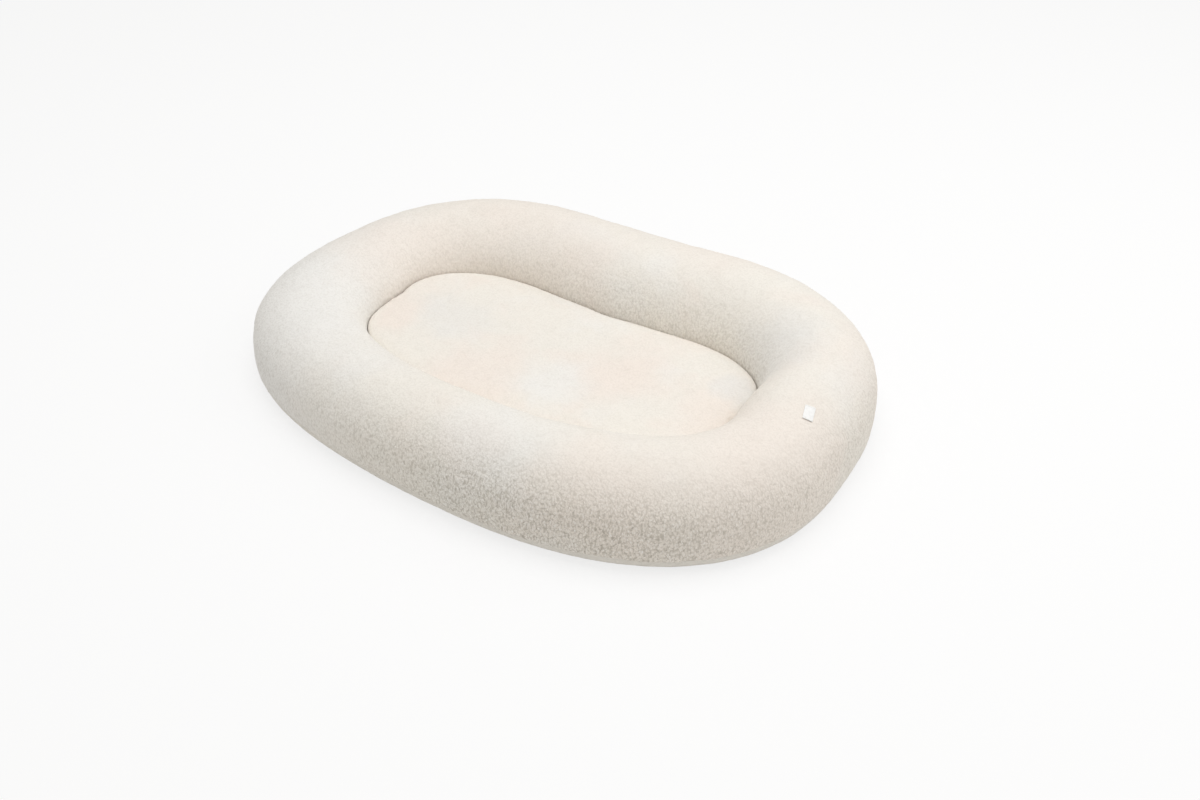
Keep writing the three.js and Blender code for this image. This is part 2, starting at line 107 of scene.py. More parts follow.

# Soft patches of another tone: place, reach, tone and share; the dim tone in the bolster's right valley is
# painted shade
BOLSTER_SPOTS = (
    ((-0.40, -0.13, 0.10), 0.33, "cool", 1.0),
    ((-0.283, 0.06, 0.09), 0.14, "warm", 0.6),
    ((-0.14, 0.175, 0.12), 0.22, "warm", 0.5),
    ((0.39, -0.13, 0.10), 0.20, "warm", 0.75),
    ((0.31, -0.25, 0.04), 0.14, "warm", 0.4),
    ((0.02, -0.27, 0.11), 0.07, "warm", 0.7),
    ((0.20, -0.25, 0.10), 0.12, "warm", 0.7),
    ((0.42, 0.12, 0.10), 0.12, "warm", 0.5),
    ((0.13, 0.27, 0.12), 0.12, "warm", 0.5),
    ((0.05, -0.25, 0.12), 0.12, "cool", 0.6),
    # Painted shade in the valley at the right inside of the ring
    ((0.30, 0.10, 0.09), 0.10, "dim_and_shade", 0.8),
)
CUSHION_SPOTS = (
    ((-0.247, -0.027, 0.055), 0.06, "warm", 0.9),
    ((-0.067, -0.104, 0.055), 0.11, "warm", 0.9),
    ((0.109, 0.007, 0.06), 0.10, "warm", 1.0),
    ((0.254, -0.016, 0.055), 0.08, "warm", 0.8),
    ((-0.151, -0.002, 0.06), 0.07, "dim_and_shade", 0.45),
    ((-0.20, 0.03, 0.06), 0.05, "dim_and_shade", 0.35),
    ((0.03, -0.06, 0.06), 0.08, "cool", 0.7),
    ((0.27, 0.05, 0.06), 0.05, "dim_and_shade", 0.6),
)

# Band, piping and sole
BAND_STITCH_DROP = 0.0042
BAND_STITCH_THICKNESS = 0.0005
PIPING_SPACING = 0.006
SOLE_SOFT_EDGE = 0.0013
QUILT_DEPTH = 0.0016

# Label: hem, thickness, corners, and how it and its stitches stand in the pile
LABEL_HEM = 0.0026
LABEL_HEM_EDGE = 0.0005
LABEL_HEM_HEIGHT = 0.0003
LABEL_THICKNESS = 0.0007
LABEL_SOFT_EDGE = 0.0002
LABEL_CORNER = 0.0012
LABEL_RISE = 0.0011
LABEL_STITCH_INSET = 0.0013
LABEL_STITCH_REACH = 0.0052
LABEL_STITCH_RISE = 0.0018
LABEL_STITCH_COUNT = 6

# Stage: width of the lamps, and the share of the floor's white that is its own
LAMP_SIZE = 1.8
FLOOR_GLOW = 0.75


def number_property(name, description, default, **more):
    """A plain number, an angle or a power that a user may change."""
    return bpy.props.FloatProperty(name=name, description=description, default=default, **more)


def size_property(name, description, default, **limits):
    """A length that a user may change."""
    return number_property(name, description, default, unit="LENGTH", **limits)


def colour_property(name, description, default):
    """A colour that a user may change."""
    limits = {"subtype": "COLOR", "size": 4, "min": 0.0, "max": 1.0}
    default = (*default, 1.0)
    return bpy.props.FloatVectorProperty(name=name, description=description, default=default, **limits)


class FleeceSettings(bpy.types.PropertyGroup):
    """Curly pile shared by the bolster and the cushion."""

    colour: colour_property("Pile Colour", "Cream of the curls that stand up", (0.872, 0.838, 0.78))
    cool_colour: colour_property("Cool Patches", "Colour where the pile leans away", (0.872, 0.862, 0.84))
    warm_colour: colour_property("Warm Patches", "Colour where the pile leans over", (0.885, 0.808, 0.745))
    # Painted highlight: the light that the curl tips catch, laid into their colour
    tip_highlight_colour: colour_property("Curl Tips", "Colour of the tips that catch the light", (0.98, 0.955, 0.905))
    # Painted shade: the shade deep between the curls, laid into their colour
    root_shade_colour: colour_property("Pile Roots", "Colour deep between the curls", (0.46, 0.42, 0.355))
    # Painted shade: the dark of the crease between bolster and cushion, laid into the pile's colour
    crease_shade_colour: colour_property(
        "Crease", "Colour down in the crease between bolster and cushion", (0.30, 0.235, 0.175)
    )
    curl_size: size_property("Curl Size", "Distance from one curl to the next", 0.0026, min=0.001)
    curl_height: size_property("Curl Height", "How far the curls stand out of the cloth", 0.0013, min=0.0)
    tuft_size: size_property(
        "Tuft Size", "Size of the small tufts that the curls gather into", 0.0048, min=0.001
    )
    voxel_size: size_property("Cloth Grid", "Grid that the cloth is simulated on", 0.005, min=0.003)


class BolsterSettings(bpy.types.PropertyGroup):
    """The stuffed ring."""

    fullness: size_property("Fullness", "How far the stuffed cover stands out beyond its cut", 0.001)
    pressure: number_property(
        "Filling Pressure", "Pressure of the fibre in the cloth simulation", 4.0, min=0.0
    )
    swell: size_property("Swell", "Furthest that the cloth may move", 0.004, min=0.0)
    dent_depth: size_property("Dents", "Depth of the broad soft dents in the filling", 0.004, min=0.0)
    press_depth: size_property(
        "Pressed Places", "Depth of the dimples at the ends of the lying space", 0.0026, min=0.0
    )


class CushionSettings(bpy.types.PropertyGroup):
    """The cushion that lies in the ring."""

    fullness: size_property("Fullness", "How far the cover stands out beyond its cut", 0.0004)
    edge_rise: size_property("Edge Rise", "How far the ring squeezes the cushion's edge up", 0.0038)
    piping: size_property("Piping", "Diameter of the piping in the seam below", 0.0024, min=0.0)
    pressure: number_property(
        "Filling Pressure", "Pressure of the foam in the cloth simulation", 4.0, min=0.0
    )
    swell: size_property("Swell", "Furthest that the cloth may move", 0.003, min=0.0)


class TrimSettings(bpy.types.PropertyGroup):
    """Label, stitches and plain cloths."""

    label_length: size_property("Label Length", "Length of the sewn label", 0.024)
    label_width: size_property("Label Width", "Width of the sewn label", 0.014)
    label_colour: colour_property("Label Colour", "White of the woven label", (0.98, 0.98, 0.97))
    stitch_length: size_property("Stitch Length", "Length of one stitch on the band", 0.0027)
    stitch_spacing: size_property("Stitch Spacing", "Distance from one stitch on the band to the next", 0.004)
    thread_colour: colour_property("Thread Colour", "Colour of the sewing thread", (0.90, 0.87, 0.81))
    band_colour: colour_property(
        "Band Colour", "Colour of the smooth band, the sole and the piping", (0.88, 0.84, 0.77)
    )


class StageSettings(bpy.types.PropertyGroup):
    """Camera, floor and lamps."""

    azimuth: number_property(
        "Azimuth", "Turn of the camera round the lounger", math.radians(28.0), subtype="ANGLE"
    )
    elevation: number_property(
        "Elevation", "Height of the camera above the floor, as an angle", math.radians(40.0), subtype="ANGLE"
    )
    distance: size_property("Distance", "From the camera to the middle of the lounger", 2.025)
    focal_length: number_property("Focal Length", "Focal length of the camera in millimetres", 42.316)
    shift: bpy.props.FloatVectorProperty(
        name="Lens Shift",
        description="Shift of the picture, as a share of its width",
        size=2,
        default=(0.0392, -0.0104),
    )
    sky_strength: number_property("Room Light", "Strength of the even light from all round", 0.52)
    ceiling_power: number_property("Ceiling Light", "Power of the broad lamp overhead", 25.0, unit="POWER")
    window_power: number_property(
        "Window Light", "Power of the broad lamp behind the right end", 10.5, unit="POWER"
    )
    floor_colour: colour_property("Floor", "Colour of the plain floor", (0.93, 0.93, 0.93))


# Meshes


def pick(piece):
    bpy.ops.object.select_all(action="DESELECT")
    piece.select_set(True)
    bpy.context.view_layer.objects.active = piece


def start_edit(piece):
    """Opens one piece with its whole mesh selected."""
    pick(piece)
    bpy.ops.object.mode_set(mode="EDIT")
    bpy.ops.mesh.select_all(action="SELECT")


def end_edit():
    bpy.ops.object.mode_set(mode="OBJECT")


def merge_points(piece, reach=0.00002):
    start_edit(piece)
    bpy.ops.mesh.remove_doubles(threshold=reach)
    end_edit()


def make_quads(piece):
    start_edit(piece)
    bpy.ops.mesh.tris_convert_to_quads(face_threshold=math.pi, shape_threshold=math.pi)
    end_edit()


def new_piece(name, data):
    piece = bpy.data.objects.new(name, data)
    bpy.context.scene.collection.objects.link(piece)
    return piece


def copy_of_node(node, name):
    """A new piece with a CAD node's shape, its loose triangles merged."""
    piece = new_piece(name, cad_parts[node].data.copy())
    piece.data.name = name
    piece.data.materials.clear()
    merge_points(piece)
    return piece


def points_of(piece):
    points = np.empty(len(piece.data.vertices) * 3)
    piece.data.vertices.foreach_get("co", points)
    return points.reshape(-1, 3)


def facings_of(piece):
    normals = np.empty(len(piece.data.vertices) * 3)
    piece.data.vertex_normals.foreach_get("vector", normals)
    return normals.reshape(-1, 3)


def set_points(piece, points):
    piece.data.vertices.foreach_set("co", points.ravel())
    piece.data.update()


def tree_of(piece):
    """A search tree over the faces of a piece or a CAD node."""
    corners = [vertex.co for vertex in piece.data.vertices]
    return BVHTree.FromPolygons(corners, [tuple(face.vertices) for face in piece.data.polygons])


def gap_to(piece, neighbour):
    """Distance from each point to a CAD neighbour."""
    surface = tree_of(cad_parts[neighbour])
    return np.array([surface.find_nearest(point)[3] for point in points_of(piece)])


def level_distance(points, place):
    """Distance of each point from a place, seen from above."""
    return np.linalg.norm(points[:, :2] - np.array(place), axis=1)


def eased(share):
    share = np.clip(share, 0.0, 1.0)
    return share * share * (3.0 - 2.0 * share)


def above_seam(points, start, fade):
    """0 up to start above the cushion's seam, and 1 from a fade higher."""
    return eased((points[:, 2] - CUSHION_SEAM - start) / fade)


def towards_edge(points, start, fade):
    """0 in the middle of the cushion, easing in from a share of its reach over another."""
    return eased((np.linalg.norm(points[:, :2] / CUSHION_REACH, axis=1) - start) / fade)


def select_faces(piece, wanted):
    for edge in piece.data.edges:
        edge.select = False
    for vertex in piece.data.vertices:
        vertex.select = False
    for face in piece.data.polygons:
        face.select = wanted(face)


def keep_outside(piece, inner_nodes, reach=0.003):
    """Deletes the faces that look straight at what is inside or down at the floor.

    Only the outer skin stays.
    """
    trees = [tree_of(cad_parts[name]) for name in inner_nodes]

    def hidden(face):
        start = face.center + face.normal * 0.0001
        inside = any(tree.ray_cast(start, face.normal, reach)[0] for tree in trees)
        return face.normal.z < -0.9 or inside

    select_faces(piece, hidden)
    pick(piece)
    bpy.ops.object.mode_set(mode="EDIT")
    bpy.ops.mesh.select_mode(type="FACE")
    bpy.ops.mesh.delete(type="FACE")
    end_edit()


def close_skin(fill):
    """Closes the active piece's open edges with fill, in quads that face outwards."""
    bpy.ops.object.mode_set(mode="EDIT")
    bpy.ops.mesh.select_mode(type="EDGE")
    bpy.ops.mesh.select_all(action="DESELECT")
    bpy.ops.mesh.select_non_manifold()
    fill()
    bpy.ops.mesh.select_all(action="SELECT")
    bpy.ops.mesh.tris_convert_to_quads(face_threshold=math.pi, shape_threshold=math.pi)
    bpy.ops.mesh.normals_make_consistent(inside=False)
    end_edit()


def apply_modifier(piece, name, kind, **settings):
    modifier = piece.modifiers.new(name, kind)
    for key, value in settings.items():
        setattr(modifier, key, value)
    pick(piece)
    bpy.ops.object.modifier_apply(modifier=modifier.name)


def refine(piece, levels):
    apply_modifier(piece, "Refine", "SUBSURF", levels=levels, render_levels=levels)


def even_grid(piece, size):
    apply_modifier(piece, "Even Grid", "REMESH", mode="VOXEL", voxel_size=size, use_smooth_shade=True)


def soften_edge(piece, width, segments, **more):
    settings = {"width": width, "segments": segments, "limit_method": "ANGLE", **more}
    apply_modifier(piece, "Soft Edge", "BEVEL", **settings)


def push_out(piece, distance):
    """Moves the whole skin along its normals."""
    start_edit(piece)
    bpy.ops.transform.shrink_fatten(value=distance)
    end_edit()


def inflate(piece, settings, held_below, sideways=1.0):
    """Fills the cover by cloth simulation; no point moves further than the swell, and low points stay.

    Sideways is the share of the level movement that is kept.
    """
    rest = points_of(piece)
    seam = piece.vertex_groups.new(name="Seam")
    seam.add([int(number) for number in np.flatnonzero(rest[:, 2] < held_below)], 1.0, "ADD")
    modifier = piece.modifiers.new("Filling", "CLOTH")
    modifier.settings.use_pressure = True
    modifier.settings.uniform_pressure_force = settings.pressure
    modifier.settings.vertex_group_mass = seam.name
    modifier.settings.effector_weights.gravity = 0.0
    modifier.point_cache.frame_start = 1
    modifier.point_cache.frame_end = CLOTH_FRAMES
    for moment in range(1, CLOTH_FRAMES + 1):
        bpy.context.scene.frame_set(moment)
    pick(piece)
    bpy.ops.object.modifier_apply(modifier=modifier.name)
    bpy.context.scene.frame_set(1)
    moved = points_of(piece) - rest
    moved[:, :2] *= sideways
    length = np.linalg.norm(moved, axis=1, keepdims=True)
    set_points(piece, rest + moved * np.minimum(1.0, settings.swell / np.maximum(length, 1e-9)))
    piece.vertex_groups.clear()


def roughen(piece, name, size, height, direction="NORMAL"):
    """Raises a soft random relief of one size on a skin."""
    texture = bpy.data.textures.new(name, "CLOUDS")
    texture.noise_scale = size
    texture.noise_depth = 1
    texture.cloud_type = "COLOR" if direction == "RGB_TO_XYZ" else "GRAYSCALE"
    settings = {"texture": texture, "texture_coords": "LOCAL", "direction": direction, "strength": height}
    apply_modifier(piece, name, "DISPLACE", mid_level=0.5, **settings)


def press_in(piece, place, reach, depth):
    """Presses a soft round dimple into a skin."""
    points = points_of(piece)
    share = eased(1.0 - np.linalg.norm(points - np.array(place), axis=1) / reach)
    set_points(piece, points - facings_of(piece) * (share * depth)[:, None])


def smooth_shading(piece, angle=math.pi):
    pick(piece)
    bpy.ops.object.shade_smooth_by_angle(angle=angle)


def store(piece, name, values):
    """Keeps a number for each point of a piece, for its material to read."""
    piece.data.attributes.new(name, "FLOAT", "POINT").data.foreach_set("value", values)


def mark_crease_shade(piece, neighbour):
    """Stores where the upper edge of the cushion and the wall of the ring shade each other, as the strength
    of the painted shade that the material lays there.
    """
    beside = eased((CREASE_SHADE_REACH - gap_to(piece, neighbour)) / CREASE_SHADE_FADE)
    store(piece, "crease", CREASE_SHADE_STRENGTH * beside * above_seam(points_of(piece), 0.010, 0.008))


def joined(pieces, name):
    """One object from several."""
    bpy.ops.object.select_all(action="DESELECT")
    for piece in pieces:
        piece.select_set(True)
    bpy.context.view_layer.objects.active = pieces[0]
    bpy.ops.object.join()
    pieces[0].name = name
    pieces[0].data.name = name
    return pieces[0]


def stitch_line(name, seats, length, thickness):
    """Sewn stitches: each seat is a place, the way that the stitch runs, and the way that it faces."""
    body_share, tip_share, tip_width = 0.7, 0.15, 0.45
    bpy.ops.object.select_all(action="DESELECT")
    bpy.ops.mesh.primitive_cylinder_add(vertices=8, radius=thickness / 2, depth=length * body_share)
    pattern = bpy.context.active_object
    bpy.ops.object.mode_set(mode="EDIT")
    bpy.ops.mesh.select_mode(type="FACE")
    for end in (1.0, -1.0):
        bpy.ops.mesh.select_all(action="DESELECT")
        bpy.ops.object.mode_set(mode="OBJECT")
        select_faces(pattern, lambda face: face.normal.z * end > 0.9)
        bpy.ops.object.mode_set(mode="EDIT")
        tip = (0.0, 0.0, end * length * tip_share)
        bpy.ops.mesh.extrude_region_move(TRANSFORM_OT_translate={"value": tip})
        bpy.ops.transform.resize(value=(tip_width, tip_width, 1.0), center_override=(0.0, 0.0, 0.0))
    end_edit()
    stitches = []
    for place, run, facing in seats:
        stitch = new_piece(name, pattern.data.copy())
        run = run.normalized()
        across = run.cross(facing).normalized()
        turn = Matrix((across, run.cross(across), run)).transposed().to_4x4()
        stitch.data.transform(Matrix.Translation(place) @ turn)
        stitches.append(stitch)
    bpy.data.objects.remove(pattern)
    line = joined(stitches, name)
    smooth_shading(line, math.radians(60.0))
    return line


def ring_round(surface, height, spacing):
    """Places evenly spaced round the outside of a closed ring at one height, with the ring's facing."""
    rays = 1440
    hits = []
    for step in range(rays):
        angle = 2.0 * math.pi * step / rays
        outwards = Vector((math.cos(angle), math.sin(angle), 0.0))
        start = outwards * 1.5 + Vector((0.0, 0.0, height))
        place, facing = surface.ray_cast(start, -outwards)[:2]
        if place is None:
            raise RuntimeError("the ring isn't closed at this height")
        hits.append((place, facing))
    steps = [(hits[number][0] - hits[number - 1][0]).length for number in range(rays)]
    lengths = np.cumsum(steps)
    count = int(lengths[-1] / spacing)
    chosen = np.searchsorted(lengths, (np.arange(count) + 0.5) * lengths[-1] / count)
    return [hits[number % rays] for number in chosen]


# Materials


def new_material(name):
    material = bpy.data.materials.new(name)
    material.use_nodes = True
    tree = material.node_tree
    tree.nodes.clear()
    shader = node(tree, "BsdfPrincipled")
    node(tree, "OutputMaterial", Surface=shader.outputs["BSDF"])
    return material, tree, shader


def feed(tree, made, **inputs):
    """Gives a node's inputs, by name or by _number, a value or a socket to link."""
    for key, value in inputs.items():
        socket = made.inputs[int(key[1:])] if key[0] == "_" else made.inputs[key.replace("_", " ")]
        if isinstance(value, bpy.types.NodeSocket):
            tree.links.new(value, socket)
        else:
            socket.default_value = value


def node(tree, kind, settings=None, **inputs):
    """A shader node of a kind, with its settings and its inputs."""
    made = tree.nodes.new("ShaderNode" + kind)
    for key, value in (settings or {}).items():
        setattr(made, key, value)
    feed(tree, made, **inputs)
    return made


def object_points(tree, stretch=(1.0, 1.0, 1.0)):
    place = node(tree, "TexCoord")
    return node(tree, "Mapping", _0=place.outputs["Object"], _3=stretch).outputs[0]


def stored(tree, name):
    """A number that a piece keeps for each of its points."""
    return node(tree, "Attribute", {"attribute_name": name}).outputs["Fac"]


def noise(tree, points, size, detail=2.0, roughness=0.5, distortion=0.0, output=0):
    inputs = {"Scale": 1.0 / size, "Detail": detail, "Roughness": roughness, "Distortion": distortion}
    return node(tree, "TexNoise", Vector=points, **inputs).outputs[output]


def ramp(tree, value, low, high, low_result=0.0, high_result=1.0):
    settings = {"clamp": True, "interpolation_type": "SMOOTHSTEP"}
    ends = {"_1": low, "_2": high, "_3": low_result, "_4": high_result}
    return node(tree, "MapRange", settings, Value=value, **ends).outputs[0]


def mix(tree, share, first, second, blend="MIX"):
    settings = {"data_type": "RGBA", "blend_type": blend}
    return node(tree, "Mix", settings, _0=share, _6=first, _7=second).outputs[2]


def maths(tree, operation, first, second):
    return node(tree, "Math", {"operation": operation}, _0=first, _1=second).outputs[0]


def times(tree, first, second):
    return maths(tree, "MULTIPLY", first, second)


def vector_maths(tree, operation, first, second, output=0):
    made = node(tree, "VectorMath", {"operation": operation}, _0=first, _1=second)
    return made.outputs[output]


def wandering(tree, points, size, reach, detail):
    """A slow random shift of up to reach along each axis."""
    drift = noise(tree, points, size, detail, output="Color")
    return node(tree, "VectorMath", {"operation": "SCALE"}, _0=drift, Scale=reach).outputs[0]


def bump(tree, height, distance, **more):
    return node(tree, "Bump", Height=height, Distance=distance, **more).outputs[0]


def darker(colour, share):
    return tuple(channel * share for channel in colour[:3]) + (1.0,)


def tone_patches(tree, points, ground, spots, tones):
    """Lays soft patches of another tone over a colour; each spot is a place, a reach, a tone and a share."""
    reach = 0.09
    centred = vector_maths(tree, "ADD", wandering(tree, points, 0.07, reach, 2.0), (-reach / 2,) * 3)
    bent = vector_maths(tree, "ADD", points, centred)
    for place, spot_reach, tone, share in spots:
        away = vector_maths(tree, "DISTANCE", bent, place, "Value")
        covered = ramp(tree, away, spot_reach, spot_reach * 0.25, 0.0, share)
        ground = mix(tree, covered, ground, tones[tone])
    return ground


def fleece_material(name, fleece, patch_size, grain, spots):
    """Curly pile: curls with painted shade at their roots and painted highlights on their tips, small tufts,
    soft patches of other tones, and painted shade in the crease.

    Grain is how strongly the curls and their painted shade and highlights show everywhere, and the skin's
    "open" attribute adds to it.
    """
    material, tree, shader = new_material(name)
    points = object_points(tree)
    hanging = object_points(tree, (1.0, 1.0, 0.6))
    curl = fleece.curl_size
    curls = node(
        tree,
        "TexVoronoi",
        {"feature": "SMOOTH_F1"},
        Vector=vector_maths(tree, "ADD", hanging, wandering(tree, points, curl * 1.8, curl * 1.6, 1.0)),
        Scale=1.0 / curl,
        Smoothness=0.5,
    ).outputs["Distance"]
    fibres = noise(tree, hanging, curl * 0.35, distortion=1.2)
    tufts = noise(tree, points, fleece.tuft_size, detail=1.0, distortion=0.6)
    cool = noise(tree, points, patch_size, detail=3.0, distortion=0.4)
    aside = vector_maths(tree, "ADD", points, (3.1, 1.7, 0.4))
    warm = noise(tree, aside, patch_size * 0.85, detail=3.0, distortion=0.4)
    brushing = noise(tree, points, patch_size * 0.25, distortion=1.5)
    # Depth of the pile: how strong its relief, and its painted shade and highlights, are here
    depth = maths(tree, "ADD", stored(tree, "open"), grain)

    # The dim tone is painted shade in the bolster's right valley, and darker patches on the cushion
    tones = {"cool": fleece.cool_colour, "warm": fleece.warm_colour, "dim_and_shade": darker(fleece.cool_colour, 0.93)}
    cooler = mix(tree, ramp(tree, cool, 0.5, 0.75, 0.0, 0.5), fleece.colour, fleece.cool_colour)
    warmer = mix(tree, ramp(tree, warm, 0.48, 0.72, 0.0, 0.5), cooler, fleece.warm_colour)
    patched = tone_patches(tree, points, warmer, spots, tones)
    brushed = ramp(tree, brushing, 0.55, 0.3, 0.0, 0.5)
    dimmer = mix(tree, brushed, patched, (0.955, 0.95, 0.945, 1.0), "MULTIPLY")
    # Painted shade: the pile darker and warmer where it lies deep
    deep_pile_shade = mix(tree, depth, WHITE, (0.995, 0.985, 0.955, 1.0))
    shaded = mix(tree, 1.0, dimmer, deep_pile_shade, "MULTIPLY")
    rough_curls = maths(tree, "ADD", curls, ramp(tree, fibres, 0.3, 0.7, -0.12, 0.12))
    loose = ramp(tree, tufts, 0.72, 0.3, 0.7, 1.0)
    gaps = times(tree, ramp(tree, rough_curls, 0.34, 0.85), loose)
    # Painted shade at the roots, between the curls and among the loose tufts
    root_shade_share = times(tree, gaps, times(tree, depth, 0.85))
    deep = mix(tree, root_shade_share, shaded, fleece.root_shade_colour)
    # Painted highlight on the tips of the curls
    tips = ramp(tree, rough_curls, 0.34, 0.04)
    lit = times(tree, tips, times(tree, depth, 1.2))
    highlighted = mix(tree, lit, deep, fleece.tip_highlight_colour)
    # Painted shade: the crease colour laid over the pile where the cushion and the ring meet
    crease_shaded = mix(tree, stored(tree, "crease"), highlighted, fleece.crease_shade_colour)

    hills = times(tree, maths(tree, "SUBTRACT", 1.0, curls), depth)
    relief = bump(tree, hills, fleece.curl_height * 1.2)
    relief = bump(tree, times(tree, tufts, depth), fleece.curl_height * 0.7, Normal=relief)
    relief = bump(tree, fibres, fleece.curl_height * 0.16, Strength=0.7, Normal=relief)
    sheen = {"Sheen_Weight": 0.25, "Sheen_Roughness": 0.6, "Sheen_Tint": (1.0, 0.97, 0.92, 1.0)}
    feed(tree, shader, Base_Color=crease_shaded, Roughness=0.95, Specular_IOR_Level=0.15, Normal=relief, **sheen)
    return material


def weave(tree, points, thread):
    """Height of crossing threads, from three sets of bands so that it holds on every side."""
    bands = []
    for direction in ("X", "Y", "Z"):
        inputs = {"Vector": points, "Scale": 0.314 / thread, "Distortion": 0.6}
        made = node(tree, "TexWave", {"bands_direction": direction}, **inputs)
        bands.append(made.outputs[1])
    return times(tree, maths(tree, "MAXIMUM", bands[0], bands[1]), bands[2])


def quilting(tree, points, spacing):
    """Depth of a diamond of sewn lines, from 0 on the pads to 1 in the lines."""
    lines = []
    for turn in (math.radians(45.0), math.radians(-45.0)):
        turned = node(tree, "Mapping", _0=points, _2=(0.0, 0.0, turn)).outputs[0]
        along = node(tree, "SeparateXYZ", _0=turned).outputs["X"]
        lines.append(ramp(tree, maths(tree, "PINGPONG", along, spacing / 2), spacing * 0.16, 0.0))
    return maths(tree, "MAXIMUM", lines[0], lines[1])


def woven_material(name, colour, thread, roughness=0.9, sheen=0.1, quilt=0.0):
    """Plain weave with slubs, quilted in diamonds where a spacing is given."""
    material, tree, shader = new_material(name)
    points = object_points(tree)
    crossing = weave(tree, points, thread)
    slubs = noise(tree, points, thread * 9.0, detail=3.0)
    dark = darker(colour, 0.84)
    cloth = mix(tree, ramp(tree, slubs, 0.2, 0.8, 0.35, 1.0), dark, colour)
    threads = mix(tree, ramp(tree, crossing, 1.0, 0.0, 0.0, 0.3), cloth, dark)
    relief = bump(tree, crossing, thread * 0.12)
    if quilt:
        sewn = quilting(tree, points, quilt)
        threads = mix(tree, times(tree, sewn, 0.3), threads, dark)
        relief = bump(tree, maths(tree, "SUBTRACT", 1.0, sewn), QUILT_DEPTH, Normal=relief)
    feed(tree, shader, Base_Color=threads, Roughness=roughness, Normal=relief)
    feed(tree, shader, Specular_IOR_Level=0.2, Sheen_Weight=sheen)
    return material


def sole_material(name, colour):
    """Quilted cloth above, and rubber dots on its underside."""
    thread, quilt, dot_spacing = 0.0012, 0.05, 0.009
    material, tree, shader = new_material(name)
    points = object_points(tree)
    crossing = weave(tree, points, thread)
    sewn = quilting(tree, points, quilt)
    flat = node(tree, "Mapping", _0=points, _3=(1.0, 1.0, 0.0)).outputs[0]
    cell = node(tree, "TexVoronoi", Vector=flat, Scale=1.0 / dot_spacing, Randomness=0.0)
    height = node(tree, "SeparateXYZ", _0=points).outputs["Z"]
    below = ramp(tree, height, 0.0012, 0.0008)
    dots = times(tree, ramp(tree, cell.outputs["Distance"], 0.2, 0.16), below)
    dark = darker(colour, 0.84)
    threads = mix(tree, ramp(tree, crossing, 1.0, 0.0, 0.0, 0.3), colour, dark)
    cloth = mix(tree, times(tree, sewn, 0.35), threads, dark)
    rubber = (0.95, 0.93, 0.88, 1.0)
    relief = bump(tree, crossing, 0.00015)
    relief = bump(tree, maths(tree, "SUBTRACT", 1.0, sewn), QUILT_DEPTH, Normal=relief)
    feed(
        tree,
        shader,
        Base_Color=mix(tree, dots, cloth, rubber),
        Roughness=ramp(tree, dots, 0.0, 1.0, 0.9, 0.45),
        Specular_IOR_Level=0.25,
        Normal=bump(tree, dots, 0.0006, Normal=relief),
    )
    return material


def moulded_material(name, colour, roughness, metallic=0.0, grain=0.0004):
    """Moulded plastic or bare metal, with a faint grain and rubbed places."""
    material, tree, shader = new_material(name)
    points = object_points(tree)
    grains = noise(tree, points, grain)
    rubbed = noise(tree, points, grain * 12.0)
    feed(
        tree,
        shader,
        Base_Color=mix(tree, ramp(tree, rubbed, 0.3, 0.7), darker(colour, 0.86), colour),
        Roughness=ramp(tree, rubbed, 0.2, 0.8, roughness * 0.8, roughness * 1.2),
        Metallic=metallic,
        Normal=bump(tree, grains, grain * 0.05),
    )
    return material


def fibre_material(name, colour, size):
    """Loose wadding or open foam."""
    material, tree, shader = new_material(name)
    strands = noise(tree, object_points(tree), size, detail=5.0, roughness=0.7, distortion=2.0)
    feed(
        tree,
        shader,
        Base_Color=mix(tree, ramp(tree, strands, 0.3, 0.6), darker(colour, 0.8), colour),
        Roughness=1.0,
        Specular_IOR_Level=0.1,
        Normal=bump(tree, strands, size * 0.3),
    )
    return material


def rays_seen(tree):
    """1 for rays that show a surface to the camera, 0 for those that only light other surfaces."""
    rays = node(tree, "LightPath")
    seen = maths(tree, "MAXIMUM", rays.outputs["Is Camera Ray"], rays.outputs["Is Glossy Ray"])
    return maths(tree, "MAXIMUM", seen, rays.outputs["Is Transmission Ray"])


def give_material(piece, material):
    piece.data.materials.clear()
    piece.data.materials.append(material)


def dress_node(name, material):
    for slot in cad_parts[name].material_slots:
        slot.material = material


# Pieces


